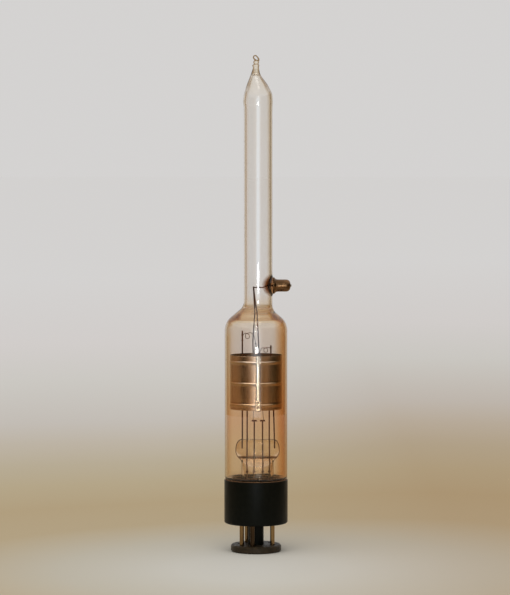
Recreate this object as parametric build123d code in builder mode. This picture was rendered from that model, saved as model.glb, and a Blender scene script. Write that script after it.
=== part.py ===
from build123d import *
import os
from math import cos, radians, sin, tan

# Ionisation-gauge triode on an octal pin base. Millimetres, +Z up along the bulb axis.
# The origin is the middle of the pin guard's underside, and +X points at the side cap.

os.makedirs("parts", exist_ok=True)

# ---- pin guard -------------------------------------------------------------------------
guard_diameter = 26.2
guard_height = 3.6
guard_floor = 0.8
guard_edge = 0.6
guard_clearance = 0.06

# ---- pins and the keyed post ------------------------------------------------------------
pin_circle_diameter = 17.45
pin_diameter = 2.36
pin_bore = 1.66
pin_length = 14.0
pin_rise = 1.2
pin_tip_round = 0.5
pin_places = 8
first_pin_angle = 77.5
fitted_pins = [2, 4, 5, 7]
solder_depth = 2.2
tail_lead_in = 1.5
tail_bend = 1.2
key_diameter = 8.0
key_bore = 5.0
key_gap = 0.6
key_edge = 0.4
key_rib_width = 2.0
key_rib_height = 0.9
key_angle = 55.0

# ---- base shell and its cement ----------------------------------------------------------
base_diameter = 33.0
base_height = 22.7
base_wall = 1.9
base_floor = 2.6
base_edge = 1.0
rim_edge = 0.35
cement_thickness = 0.5
cement_depth = 7.0
cement_drop = 0.7

# ---- glass bulb -------------------------------------------------------------------------
bulb_setback = 0.2
glass_wall = 1.2
foot_lift = 3.1
tuck_gap = 0.15
outer_round_share = 0.62
inner_round_share = 0.3
shoulder_radius = 9.3
cone_angle = 40.0
neck_diameter = 14.8
neck_shift = 1.1
neck_blend = 6.0
neck_reach = 117.0
seal_rise = 16.0
tip_height = 18.0
# The tip's rings from below: share of its height, radius and share of the way to the stalk's axis.
tip_rings = [(0.0, 7.4, 0.0), (0.12, 7.7, 0.0), (0.45, 6.85, 0.05), (0.72, 4.3, 0.8), (1.0, 1.75, 1.0)]
least_bore = 0.35
stalk_diameter = 3.5
stalk_shift = -0.1
stalk_length = 3.4
stalk_lap = 1.5
bead_round = 1.4
curl_radius = 1.1
curl_wire = 0.8
curl_across = (1, 0, -0.6)
curl_facing = (0.3, -1, 0.5)

# ---- side arm ---------------------------------------------------------------------------
arm_height = 23.4
boss_diameter = 8.7
boss_blend = 0.9
boss_reach = 0.5
nub_diameter = 3.2
nub_length = 3.0
side_lead_diameter = 0.6
cap_diameter = 6.4
cap_skirt_length = 1.6
cap_barrel_length = 5.0
cap_dome_length = 2.3
cap_wall = 0.3
cap_dome_fullness = 0.55
cap_cement_reach = 4.2
cap_solder_radius = 1.1
cap_solder_sink = 0.6
lead_drop = 1.0
lead_end = -1.5
lead_jog_start = 5.6
lead_jog_end = 3.6
lead_bend = 1.0

# ---- stem and press ---------------------------------------------------------------------
stem_diameter = 17.1
stem_shift = 0.8
flare_rim = 1.5
flare_height = 8.0
flare_middle = 0.35
flare_share = 0.4
hollow_rise = 11.6
pinch_height = 9.0
pinch_width_gain = 0.6
pinch_depth_gain = 0.9
press_height = 9.5
press_lap = 1.0
press_thickness = 4.5
press_side_gap = 2.7
press_round = 4.2
press_edge = 1.4
lead_bore_depth = 4.0
bore_overrun = 1.0

# ---- rods, leads and fine wires ---------------------------------------------------------
rod_diameter = 0.75
rod_short_lean = 0.45
rod_short_step = 1.4
rod_short_foot = 1.5
rod_short_shoulder = 0.5
rod_short_bend = 2.0
tail_diameter = 0.6
fine_diameter = 0.3
filament_diameter = 0.24
seat_depth = 4.9
weld_depth = 2.0
knot_drop = 7.7
knot_diameter = 1.5
filament_lead_rise = 9.1
clip_length = 2.7
clip_thickness = 0.5
clip_height = 0.9
clip_edge = 0.15

# ---- collector --------------------------------------------------------------------------
collector_gap = 1.5
collector_sheet = 0.25
collector_lift = 15.9
collector_height = 28.0
bead_places = [2.8, 13.8, 24.8]
bead_radius = 1.28
bead_height = 0.28
seam_width = 2.1
seam_thickness = 0.33
tab_thickness = 0.25
tab_width = 1.9
tab_height = 4.0
tab_shift = 0.6
foot_tab_width = 3.0
foot_tab_height = 5.5
foot_tab_drop = 0.5
rear_tab_gap = 0.001

# ---- the collector's two legs ------------------------------------------------------------
leg_diameter = 0.66
leg_bend = 2.0
leg_end = 0.5
leg_straight = 2.5
knee_height = 8.9
knee_reach = 4.0
rim_height = 6.0
front_leg_lap = 5.2
rear_leg_lap = 3.5
# X of each leg at the side lead, under it, at the knee, above the rim and at the weld.
front_leg_x = [-1.2, -1.0, 0.5, 1.35, 1.45]
rear_leg_x = [-1.4, -1.2, -0.7, -1.7, -1.45]

# ---- grid -------------------------------------------------------------------------------
grid_wire = 0.26
grid_pitch = 2.0
grid_margin = 1.5
grid_drop = 2.1
grid_rod_spare = 0.6
dome_room = 12.6
rod_long_top = 12.5
rod_short_top = 4.9

# ---- filament, its spring and the grid's tie -----------------------------------------------
apex_shift = -1.05
apex_rise = 6.1
apex_half = 0.25
apex_bend = 0.12
filament_spread = 0.6
spring_drop = 1.1
tie_drop = 1.4
tie_hook_x = 0.3
tie_hook_y = 3.0
tie_hook_drop = 0.4
# Places of each fine wire from where it leaves its rod: along X, Y itself, and up or down.
spring_route = [(0, -0.375, -0.9), (0.9, -0.6, 0), (3.2, -0.5, -0.9), (3.2, -0.35, -2.9),
                (1.1, -0.2, -2.9), (1.1, 0.15, -0.5), (3.9, 0.3, 0.2)]
spring_bends = [0.4, 0.9, 0.9, 0.9, 0.9, 0.9, 0.9, 0.5]
# The spring's last places: from the apex along X, Y itself, and up or down from the apex.
spring_hook = [(-0.7, 0.3, 3.7), (0, 0.3, 0.2), (0, -0.35, -0.35)]
spring_turns = [1.2, 4.0]
tie_route = [(0, -0.375, 0), (-0.9, -0.5, 0.5), (-3.1, -0.4, -0.2), (-3.1, -0.2, -2.2),
             (-1.1, 0.1, -2.2), (-1.1, 0.4, -0.1), (-4.2, 0.8, 0.1)]
tie_bends = [0.4, 0.9, 0.9, 0.9, 0.9, 0.9, 1.2]
tie_turn = 0.2

# ---- heights that follow from the sizes above -------------------------------------------
base_bottom = guard_floor + pin_length
base_top = base_bottom + base_height
foot_bottom = base_bottom + base_floor + foot_lift
tuck_height = base_top + tuck_gap
hollow_top = base_top + hollow_rise
press_top = hollow_top + press_height
collector_bottom = press_top + collector_lift
collector_top = collector_bottom + collector_height
shoulder_bottom = collector_top + dome_room
neck_top = shoulder_bottom + neck_reach
seal_height = shoulder_bottom + seal_rise
arm_z = shoulder_bottom + arm_height
stalk_bottom = neck_top + tip_height
stalk_top = stalk_bottom + stalk_length
grid_bottom = collector_bottom - grid_drop
grid_top = collector_top - grid_margin

# ---- radii and places that follow -------------------------------------------------------
base_radius = base_diameter / 2
shell_radius = base_radius - base_wall
foot_radius = shell_radius - cement_thickness
bulb_radius = base_radius - bulb_setback
neck_radius = neck_diameter / 2
arm_foot = neck_shift + neck_radius
cap_foot = arm_foot + boss_reach
cap_radius = cap_diameter / 2
boss_radius = boss_diameter / 2
cap_end = cap_foot + cap_skirt_length + cap_barrel_length + cap_dome_length
stem_radius = stem_diameter / 2
press_half = bulb_radius - glass_wall - press_side_gap - stem_shift
collector_radius = bulb_radius - glass_wall - collector_gap
pin_radius = pin_diameter / 2
rod_radius = rod_diameter / 2
leg_radius = leg_diameter / 2
fine_radius = fine_diameter / 2


def press_place(share):
    """X of a place in the press, as a share of its half width from the middle."""
    return stem_shift + share * press_half


grid_left = press_place(-0.465)
filament_left = press_place(-0.147)
filament_right = press_place(0.224)
grid_right = press_place(0.526)
rod_long_x = press_place(-0.681)
rod_short_x = press_place(0.754)
grid_middle = (grid_left + grid_right) / 2
grid_radius = (grid_right - grid_left) / 2 + rod_radius + grid_wire / 2


def pin_point(number):
    """X and Y of one pin; the numbers rise in equal steps round the circle."""
    turn = radians(first_pin_angle + (number - 1) * 360 / pin_places)
    return pin_circle_diameter / 2 * cos(turn), pin_circle_diameter / 2 * sin(turn)


def bent_wire(points, diameter, bend):
    """Round wire along straight runs joined by tangent arcs."""
    with BuildPart() as wire:
        with BuildLine() as route:
            FilletPolyline(*points, radius=bend)
        with BuildSketch(Plane(origin=route.line @ 0, z_dir=route.line % 0)):
            Circle(diameter / 2)
        sweep()
    return wire.part


def straight_wire(x, low, high, diameter):
    """Upright round wire in the plane of the press."""
    with BuildPart() as wire:
        with BuildSketch(Plane.XY.offset(low)):
            with Locations((x, 0)):
                Circle(diameter / 2)
        extrude(amount=high - low)
    return wire.part


def save(part, name):
    """Label one finished piece and write it under its own name."""
    part.label = name
    export_step(part, "parts/" + name + ".step")


# ---- glass bulb -------------------------------------------------------------------------
def tip_form(skin):
    """Drawn-down tip of the neck, each ring a little smaller and nearer the stalk's axis."""
    shift = stalk_shift - neck_shift
    with BuildPart() as tip:
        for rise, radius, share in tip_rings:
            with BuildSketch(Plane.XY.offset(neck_top + rise * tip_height)):
                with Locations((neck_shift + share * shift, 0)):
                    Circle(max(radius - skin, least_bore))
        loft()
    return tip.part


def bulb_form(skin):
    """Solid outline of the bulb and neck, drawn in by skin."""
    ledge = bulb_radius - foot_radius
    outer_round = (outer_round_share if skin == 0 else inner_round_share) * ledge
    inner_round = (inner_round_share if skin == 0 else outer_round_share) * ledge
    foot = foot_radius - skin
    body = bulb_radius - skin
    tuck = tuck_height + skin
    bend = shoulder_radius - skin
    turn = radians(90 - cone_angle)
    cone_radius = body - bend + bend * cos(turn)
    cone_bottom = shoulder_bottom + bend * sin(turn)
    cone_top = cone_bottom + cone_radius * tan(radians(cone_angle))
    with BuildPart() as form:
        with BuildSketch(Plane.XZ) as outline:
            with BuildLine():
                Line((0, foot_bottom), (foot, foot_bottom))
                FilletPolyline((foot, foot_bottom), (foot, tuck), (body, tuck), (body, shoulder_bottom),
                               radius=(inner_round, outer_round))
                middle = turn / 2
                ThreePointArc((body, shoulder_bottom),
                              (body - bend + bend * cos(middle), shoulder_bottom + bend * sin(middle)),
                              (cone_radius, cone_bottom))
                Line((cone_radius, cone_bottom), (0, cone_top))
                Line((0, cone_top), (0, foot_bottom))
            make_face()
        revolve(axis=Axis.Z)
        with BuildSketch(Plane.XY.offset(shoulder_bottom)):
            with Locations((neck_shift, 0)):
                Circle(neck_radius - skin)
        extrude(amount=neck_reach)
        meeting = form.edges(Select.LAST).filter_by(
            lambda edge: cone_bottom < edge.center().Z < cone_top and edge.length > neck_radius * 4)
        fillet(meeting, neck_blend + skin)
    return form.part


def curl_form():
    """Loop of drawn-off glass that stands, a little tilted, on the stalk's bead."""
    ring = Plane(origin=(stalk_shift, 0, stalk_top + bead_round + curl_radius + curl_wire / 2),
                 x_dir=curl_across, z_dir=curl_facing)
    with BuildPart() as curl:
        with BuildSketch(Plane(origin=ring.origin + ring.x_dir * curl_radius, x_dir=ring.x_dir, z_dir=ring.y_dir)):
            Circle(curl_wire / 2)
        revolve(axis=Axis(ring.origin, ring.z_dir))
    return curl.part


print("glass bulb")
bulb_outside = bulb_form(0)
bulb_inside = bulb_form(glass_wall)
tip_outside = tip_form(0)
tip_inside = tip_form(glass_wall)

with BuildPart() as envelope:
    add(bulb_outside)
    with BuildSketch(Plane.YZ.offset(neck_shift)):
        with Locations((0, arm_z)):
            Circle(boss_radius)
    extrude(amount=cap_foot - neck_shift)
    boss_edges = envelope.edges(Select.LAST).filter_by(
        lambda edge: abs(edge.center().Z - arm_z) < 0.5 and edge.center().X < arm_foot)
    fillet(boss_edges, boss_blend)
    with BuildSketch(Plane.YZ.offset(neck_shift)):
        with Locations((0, arm_z)):
            Circle(nub_diameter / 2)
    extrude(amount=cap_foot + nub_length - neck_shift)
    add(bulb_inside, mode=Mode.SUBTRACT)
    add(tip_outside)
    add(tip_inside, mode=Mode.SUBTRACT)
    with BuildSketch(Plane.XY.offset(stalk_bottom - stalk_lap)):
        with Locations((stalk_shift, 0)):
            Circle(stalk_diameter / 2)
    extrude(amount=stalk_length + stalk_lap)
    with Locations((stalk_shift, 0, stalk_top + bead_round / 2)):
        Sphere(bead_round)
    add(curl_form())
    with BuildSketch(Plane.YZ.offset(neck_shift)):
        with Locations((0, arm_z)):
            Circle(side_lead_diameter / 2)
    extrude(amount=cap_end, mode=Mode.SUBTRACT)

# The bulb and the tubulation are two glasses, sealed where the shoulder meets the neck.
with BuildPart() as glass_bulb:
    add(envelope.part)
    split(bisect_by=Plane.XY.offset(seal_height), keep=Keep.BOTTOM)
with BuildPart() as glass_tubulation:
    add(envelope.part)
    split(bisect_by=Plane.XY.offset(seal_height), keep=Keep.TOP)
save(glass_bulb.part, "glass_bulb")
save(glass_tubulation.part, "glass_tubulation")

print("stem")


def stem_form(skin):
    """Solid outline of the stem tube: flare below, tube, and the pinch under the press."""
    rim = foot_radius - glass_wall - skin
    tube = stem_radius - skin
    flare_top = foot_bottom + flare_rim + flare_height
    pinch_bottom = hollow_top - pinch_height
    with BuildPart() as form:
        with BuildSketch(Plane.XY.offset(foot_bottom)):
            Circle(rim)
        extrude(amount=flare_rim)
        for height, radius, shift in [(foot_bottom + flare_rim, rim, 0),
                                      (foot_bottom + flare_rim + flare_height * flare_middle,
                                       tube + (rim - tube) * flare_share, stem_shift / 2),
                                      (flare_top, tube, stem_shift)]:
            with BuildSketch(Plane.XY.offset(height)):
                with Locations((shift, 0)):
                    Circle(radius)
        loft()
        with BuildSketch(Plane.XY.offset(flare_top)):
            with Locations((stem_shift, 0)):
                Circle(tube)
        extrude(amount=pinch_bottom - flare_top)
        with BuildSketch(Plane.XY.offset(pinch_bottom)):
            with Locations((stem_shift, 0)):
                Circle(tube)
        with BuildSketch(Plane.XY.offset(hollow_top - skin / 2)):
            with Locations((stem_shift, 0)):
                Ellipse(tube + pinch_width_gain, press_thickness / 2 + pinch_depth_gain - skin)
        loft()
    return form.part


stem_outside = stem_form(0)
stem_inside = stem_form(glass_wall)
lead_places = {"grid_left": grid_left, "filament_left": filament_left,
               "filament_right": filament_right, "grid_right": grid_right}

with BuildPart() as glass_stem:
    press_bottom = hollow_top - press_lap
    with BuildSketch(Plane.XZ.offset(-press_thickness / 2)):
        with Locations((stem_shift, (press_bottom + press_top) / 2)):
            RectangleRounded(press_half * 2, press_top - press_bottom, press_round)
    extrude(amount=press_thickness)
    fillet(glass_stem.edges().filter_by(lambda edge: abs(abs(edge.center().Y) - press_thickness / 2) < 0.01),
           press_edge)
    add(stem_outside)
    add(stem_inside, mode=Mode.SUBTRACT)
    for place in lead_places.values():
        add(straight_wire(place, hollow_top - lead_bore_depth, press_top + bore_overrun, rod_diameter),
            mode=Mode.SUBTRACT)
    for place in (rod_long_x, rod_short_x):
        add(straight_wire(place, press_top - seat_depth, press_top + bore_overrun, rod_diameter),
            mode=Mode.SUBTRACT)
save(glass_stem.part, "glass_stem")

print("base")
with BuildPart() as base_shell:
    with BuildSketch(Plane.XY.offset(base_bottom)):
        Circle(base_radius)
    extrude(amount=base_height)
    fillet(base_shell.edges().group_by(Axis.Z)[0], base_edge)
    fillet(base_shell.edges().group_by(Axis.Z)[-1], rim_edge)
    with BuildSketch(Plane.XY.offset(base_bottom + base_floor)):
        Circle(shell_radius)
    extrude(amount=base_height, mode=Mode.SUBTRACT)
    with BuildSketch(Plane.XY.offset(guard_floor + key_gap)):
        Circle(key_diameter / 2)
        with PolarLocations(key_diameter / 2, 1, start_angle=key_angle):
            Rectangle(key_rib_height * 2, key_rib_width)
    extrude(amount=pin_length - key_gap)
    chamfer(base_shell.edges().group_by(Axis.Z)[0], key_edge)
    with BuildSketch(Plane.XY.offset(guard_floor + key_gap + base_wall)):
        Circle(key_bore / 2)
    extrude(amount=base_bottom + base_floor - guard_floor - key_gap - base_wall, mode=Mode.SUBTRACT)
    with BuildSketch(Plane.XY.offset(base_bottom)):
        with Locations(*[pin_point(number) for number in fitted_pins]):
            Circle(pin_radius)
    extrude(amount=base_floor, mode=Mode.SUBTRACT)
save(base_shell.part, "base_shell")

with BuildPart() as base_cement:
    with BuildSketch(Plane.XY.offset(base_top - cement_drop - cement_depth)):
        Circle(shell_radius)
    extrude(amount=cement_depth)
    add(bulb_outside, mode=Mode.SUBTRACT)
save(base_cement.part, "base_cement")

print("pins")
pin_solder = []
for number in fitted_pins:
    pin_x, pin_y = pin_point(number)
    with BuildPart() as pin:
        with BuildSketch(Plane.XY.offset(guard_floor)):
            with Locations((pin_x, pin_y)):
                Circle(pin_radius)
        extrude(amount=pin_length + base_floor + pin_rise)
        fillet(pin.edges().group_by(Axis.Z)[0], pin_tip_round)
        with BuildSketch(Plane.XY.offset(guard_floor)):
            with Locations((pin_x, pin_y)):
                Circle(pin_bore / 2)
        extrude(amount=pin_length + base_floor + pin_rise, mode=Mode.SUBTRACT)
    save(pin.part, "pin_" + str(number))
    with BuildPart() as drop:
        with BuildSketch(Plane.XY.offset(guard_floor)):
            with Locations((pin_x, pin_y)):
                Circle(pin_bore / 2)
        extrude(amount=solder_depth)
        with BuildSketch(Plane.XY.offset(guard_floor + solder_depth / 2)):
            with Locations((pin_x, pin_y)):
                Circle(tail_diameter / 2)
        extrude(amount=solder_depth, mode=Mode.SUBTRACT)
    pin_solder.append(drop.part)
save(Compound(children=pin_solder), "pin_solder")

print("guard")
with BuildPart() as pin_guard:
    with BuildSketch():
        Circle(guard_diameter / 2)
    extrude(amount=guard_height)
    chamfer(pin_guard.edges(), guard_edge)
    with BuildSketch(Plane.XY.offset(guard_floor)):
        with Locations(*[pin_point(number) for number in range(1, pin_places + 1)]):
            Circle(pin_radius + guard_clearance)
        Circle(key_diameter / 2 + guard_clearance)
        with PolarLocations(key_diameter / 2, 1, start_angle=key_angle):
            Rectangle(2 * (key_rib_height + guard_clearance), key_rib_width + 2 * guard_clearance)
    extrude(amount=guard_height, mode=Mode.SUBTRACT)
save(pin_guard.part, "pin_guard")

print("leads")
lead_tops = {"grid_left": grid_bottom, "filament_left": press_top + filament_lead_rise,
             "filament_right": press_top + filament_lead_rise, "grid_right": grid_bottom}
tail_pins = {"grid_left": 4, "filament_left": 2, "filament_right": 7, "grid_right": 5}
seal_top = press_top - weld_depth
knot_z = hollow_top - knot_drop
for name, place in lead_places.items():
    lead = straight_wire(place, seal_top, lead_tops[name], rod_diameter)
    circuit, side = name.split("_")
    save(lead, circuit + "_lead_" + side)
    with BuildPart() as seal_wire:
        add(straight_wire(place, knot_z, seal_top, rod_diameter))
        with Locations((place, 0, knot_z)):
            Sphere(knot_diameter / 2)
    save(seal_wire.part, "press_seal_" + name)

# ---- copper tails from the seals down through the pins ------------------------------------
for name, number in tail_pins.items():
    pin_x, pin_y = pin_point(number)
    place = lead_places[name]
    mouth_z = base_bottom + base_floor + pin_rise
    tail = bent_wire([(place, 0, knot_z - knot_diameter / 2), (place, 0, foot_bottom + flare_height),
                      (pin_x, pin_y, mouth_z + tail_lead_in), (pin_x, pin_y, guard_floor + solder_depth / 2)],
                     tail_diameter, tail_bend)
    save(tail, "tail_pin_" + str(number))

# ---- dead-end support rods --------------------------------------------------------------
save(straight_wire(rod_long_x, press_top - seat_depth, collector_top + rod_long_top, rod_diameter),
     "support_rod_long")
short_high_x = rod_short_x - rod_short_lean - rod_short_step
save(bent_wire([(rod_short_x, 0, press_top - seat_depth), (rod_short_x, 0, press_top + rod_short_foot),
                (rod_short_x - rod_short_lean, 0, collector_bottom),
                (short_high_x, 0, collector_top - rod_short_shoulder),
                (short_high_x, 0, collector_top + rod_short_top)],
               rod_diameter, rod_short_bend), "support_rod_short")

print("collector")


def wall_strip(middle, width, inner, outer, low, high, front):
    """Strip of sheet that follows the collector's wall, in front of it or behind it."""
    side = -1 if front else 1
    with BuildPart() as strip:
        with BuildSketch(Plane.XY.offset(low)):
            with Locations((middle, side * outer)):
                Rectangle(width, outer)
            Circle(outer, mode=Mode.INTERSECT)
            Circle(inner, mode=Mode.SUBTRACT)
        extrude(amount=high - low)
    return strip.part


seam_middle = seam_width / 2
seam_outer = collector_radius + seam_thickness
tab_outer = seam_outer + tab_thickness
with BuildPart() as collector:
    with BuildSketch(Plane.XZ):
        with Locations((collector_radius - collector_sheet / 2, (collector_bottom + collector_top) / 2)):
            Rectangle(collector_sheet, collector_height)
        bead_x = collector_radius + bead_height - bead_radius
        bead_spots = [(bead_x, collector_bottom + place) for place in bead_places]
        with Locations(*bead_spots):
            Circle(bead_radius)
        with Locations((collector_radius - collector_sheet - bead_radius, (collector_bottom + collector_top) / 2)):
            Rectangle(bead_radius * 2, collector_height, mode=Mode.SUBTRACT)
        with Locations(*bead_spots):
            Circle(bead_radius - collector_sheet, mode=Mode.SUBTRACT)
    revolve(axis=Axis.Z)
    add(wall_strip(seam_middle, seam_width, collector_radius - collector_sheet / 2, seam_outer,
                   collector_bottom, collector_top, True))
save(collector.part, "collector")

rear_tab_inner = collector_radius + bead_height + rear_tab_gap
rear_tab_outer = collector_radius + bead_height + tab_thickness
collector_tabs = Compound(children=[
    wall_strip(seam_middle + tab_shift, tab_width, seam_outer, tab_outer,
               collector_top - tab_height, collector_top, True),
    wall_strip(seam_middle, foot_tab_width, seam_outer, tab_outer,
               collector_bottom - foot_tab_drop, collector_bottom + foot_tab_height, True),
    wall_strip(-seam_middle, tab_width, rear_tab_inner, rear_tab_outer,
               collector_top - tab_height, collector_top, False)])
save(collector_tabs, "collector_tabs")

# ---- side arm: lead, legs, cap, cement and solder -----------------------------------------
print("side arm")
lead_radius = side_lead_diameter / 2
lead_z = arm_z - lead_drop
side_lead = bent_wire([(cap_end, 0, arm_z), (lead_jog_start, 0, arm_z), (lead_jog_end, 0, lead_z),
                       (lead_end, 0, lead_z)], side_lead_diameter, lead_bend)
save(side_lead, "side_lead")

leg_side = lead_radius + leg_radius
leg_top = lead_z + leg_end
knee_z = shoulder_bottom + knee_height
legs = {"front": (front_leg_x, -1, tab_outer + leg_radius, front_leg_lap),
        "rear": (rear_leg_x, 1, rear_tab_outer + leg_radius, rear_leg_lap)}
for name, (route_x, side, foot_y, lap) in legs.items():
    route_y = [leg_side, leg_side, knee_reach, foot_y, foot_y]
    route_z = [leg_top, leg_top - leg_straight, knee_z, collector_top + rim_height, collector_top - lap]
    leg = bent_wire([(x, side * y, z) for x, y, z in zip(route_x, route_y, route_z)], leg_diameter, leg_bend)
    save(leg, "collector_leg_" + name)


def cap_form(skin):
    """Solid outline of the side cap: flared skirt, barrel and dome, drawn in by skin."""
    barrel_foot = cap_foot + cap_skirt_length
    dome_foot = barrel_foot + cap_barrel_length
    with BuildPart() as form:
        with BuildSketch(Plane.XZ):
            with BuildLine():
                Line((cap_foot, arm_z), (cap_foot, arm_z + boss_radius - skin))
                Line((cap_foot, arm_z + boss_radius - skin), (barrel_foot - skin / 2, arm_z + cap_radius - skin))
                Line((barrel_foot - skin / 2, arm_z + cap_radius - skin), (dome_foot, arm_z + cap_radius - skin))
                Bezier((dome_foot, arm_z + cap_radius - skin),
                       (dome_foot + cap_dome_fullness * (cap_dome_length - skin), arm_z + cap_radius - skin),
                       (cap_end - skin, arm_z + cap_dome_fullness * (cap_radius - skin)), (cap_end - skin, arm_z))
                Line((cap_end - skin, arm_z), (cap_foot, arm_z))
            make_face()
        revolve(axis=Axis((0, 0, arm_z), (1, 0, 0)))
    return form.part


cap_outside = cap_form(0)
cap_inside = cap_form(cap_wall)
with BuildPart() as side_cap:
    add(cap_outside)
    add(cap_inside, mode=Mode.SUBTRACT)
    with BuildSketch(Plane.YZ.offset(cap_foot)):
        with Locations((0, arm_z)):
            Circle(lead_radius)
    extrude(amount=cap_end, mode=Mode.SUBTRACT)
save(side_cap.part, "side_cap")

with BuildPart() as cap_cement:
    add(cap_inside)
    with BuildSketch(Plane.YZ.offset(cap_foot + cap_cement_reach)):
        with Locations((0, arm_z)):
            Circle(boss_diameter)
    extrude(amount=cap_end, mode=Mode.SUBTRACT)
    add(envelope.part, mode=Mode.SUBTRACT)
    with BuildSketch(Plane.YZ.offset(cap_foot)):
        with Locations((0, arm_z)):
            Circle(lead_radius)
    extrude(amount=cap_end, mode=Mode.SUBTRACT)
save(cap_cement.part, "cap_cement")

with BuildPart() as cap_solder:
    with Locations((cap_end - cap_solder_sink, 0, arm_z)):
        Sphere(cap_solder_radius)
    add(cap_outside, mode=Mode.SUBTRACT)
    add(side_lead, mode=Mode.SUBTRACT)
save(cap_solder.part, "cap_solder")

# ---- grid, filament and their fine wires ---------------------------------------------------
print("grid and filament")
for name, place in (("left", grid_left), ("right", grid_right)):
    save(straight_wire(place, grid_bottom, grid_top + grid_rod_spare, rod_diameter), "grid_rod_" + name)

helix_bottom = collector_bottom + grid_margin
with BuildPart() as grid_helix:
    with BuildLine() as turns:
        Helix(pitch=grid_pitch, height=grid_top - helix_bottom, radius=grid_radius,
              center=(grid_middle, 0, helix_bottom))
    with BuildSketch(Plane(origin=turns.line @ 0, z_dir=turns.line % 0)):
        Circle(grid_wire / 2)
    sweep(is_frenet=True)
save(grid_helix.part, "grid_helix")

clip_z = press_top + filament_lead_rise
clips = []
for place in (filament_left, filament_right):
    with BuildPart() as clip:
        with Locations((place, 0, clip_z + clip_height / 2)):
            Box(clip_length, clip_thickness, clip_height)
        fillet(clip.edges().filter_by(Axis.Y), clip_edge)
    clips.append(clip.part)
save(Compound(children=clips), "filament_clips")

apex_x = stem_shift + apex_shift
apex_z = collector_top + apex_rise
filament_y = -(clip_thickness + filament_diameter) / 2
save(bent_wire([(filament_left - filament_spread, filament_y, clip_z), (apex_x - apex_half, filament_y, apex_z),
                (apex_x + apex_half, filament_y, apex_z), (filament_right + filament_spread, filament_y, clip_z)],
               filament_diameter, apex_bend), "filament")


def ring_on_rod(x, z):
    """One close turn of fine wire round an upright rod."""
    with BuildPart() as ring:
        with BuildSketch(Plane.XZ):
            with Locations((x + rod_radius + fine_radius, z)):
                Circle(fine_radius)
        revolve(axis=Axis((x, 0, 0), (0, 0, 1)))
    return ring.part


# The spring wire leaves the long rod, makes one open loop and hooks the filament's apex.
spring_x = rod_long_x + rod_radius + fine_radius
spring_z = collector_top + rod_long_top - spring_drop
spring_points = [(spring_x + x, y, spring_z + z) for x, y, z in spring_route]
spring_points += [(apex_x + x, y, apex_z + z) for x, y, z in spring_hook]
spring = bent_wire(spring_points, fine_diameter, spring_bends)
save(Compound(children=[spring] + [ring_on_rod(rod_long_x, spring_z - drop) for drop in spring_turns]),
     "filament_spring")

# The tie leaves the short rod, makes one open loop and hooks the grid's top turn behind.
tie_x = short_high_x - rod_radius - fine_radius
tie_z = collector_top + rod_short_top - tie_drop
tie_points = [(tie_x + x, y, tie_z + z) for x, y, z in tie_route]
tie_points += [(grid_middle + tie_hook_x, tie_hook_y, collector_top),
               (grid_middle, grid_radius + grid_wire, grid_top - tie_hook_drop)]
tie = bent_wire(tie_points, fine_diameter, tie_bends)
save(Compound(children=[tie, ring_on_rod(short_high_x, tie_z + tie_turn)]), "grid_tie")
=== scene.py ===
import bpy
import math
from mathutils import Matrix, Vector, noise


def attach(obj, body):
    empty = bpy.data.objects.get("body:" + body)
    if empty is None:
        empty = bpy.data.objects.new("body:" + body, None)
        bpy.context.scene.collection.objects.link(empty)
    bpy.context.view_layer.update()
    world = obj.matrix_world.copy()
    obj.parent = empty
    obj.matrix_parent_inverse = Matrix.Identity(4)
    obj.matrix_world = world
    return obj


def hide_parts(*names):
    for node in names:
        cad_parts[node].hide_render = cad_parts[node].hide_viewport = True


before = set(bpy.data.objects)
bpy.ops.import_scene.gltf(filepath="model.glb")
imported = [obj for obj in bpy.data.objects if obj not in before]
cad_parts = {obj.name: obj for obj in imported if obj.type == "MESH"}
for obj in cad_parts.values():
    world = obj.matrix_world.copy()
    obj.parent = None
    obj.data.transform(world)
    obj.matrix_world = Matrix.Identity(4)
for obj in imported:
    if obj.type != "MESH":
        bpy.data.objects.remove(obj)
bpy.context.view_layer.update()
mm = 0.001
print("frame loaded")


def smoothStep(low, high, value):
    share = min(max((value - low) / (high - low), 0.0), 1.0)
    return share * share * (3 - 2 * share)


def addPiece(name, verts, faces, material, body, replaced=()):
    # Verts come in millimetres, and the mesh is in metres
    mesh = bpy.data.meshes.new(name)
    mesh.from_pydata([[value * mm for value in vert] for vert in verts], [], faces)
    mesh.validate()
    for polygon in mesh.polygons:
        polygon.use_smooth = True
    piece = bpy.data.objects.new(name, mesh)
    bpy.context.scene.collection.objects.link(piece)
    mesh.materials.append(material)
    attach(piece, body)
    if replaced:
        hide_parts(*replaced)
    return piece


def sharpen(piece, degrees):
    # Keeps edges steeper than that crisp and the rest smooth
    piece.data.set_sharp_from_angle(angle=math.radians(degrees))


def roundedOutline(corners, steps=8):
    # Points of a polyline whose corners (a, b, radius) are rounded by arcs
    points = [Vector(corners[0][:2])]
    for before, corner, after in zip(corners, corners[1:], corners[2:]):
        here, radius = Vector(corner[:2]), corner[2]
        if radius == 0:
            points.append(here)
            continue
        toBefore = (Vector(before[:2]) - here).normalized()
        toAfter = (Vector(after[:2]) - here).normalized()
        half = toBefore.angle(toAfter) / 2
        middle = here + (toBefore + toAfter).normalized() * radius / math.sin(half)
        start = here + toBefore * radius / math.tan(half) - middle
        end = here + toAfter * radius / math.tan(half) - middle
        sweep = start.angle_signed(end)
        for step in range(steps + 1):
            turn = -sweep * step / steps
            spun = Vector((start.x * math.cos(turn) - start.y * math.sin(turn),
                           start.x * math.sin(turn) + start.y * math.cos(turn)))
            points.append(middle + spun)
    points.append(Vector(corners[-1][:2]))
    return points


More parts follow.
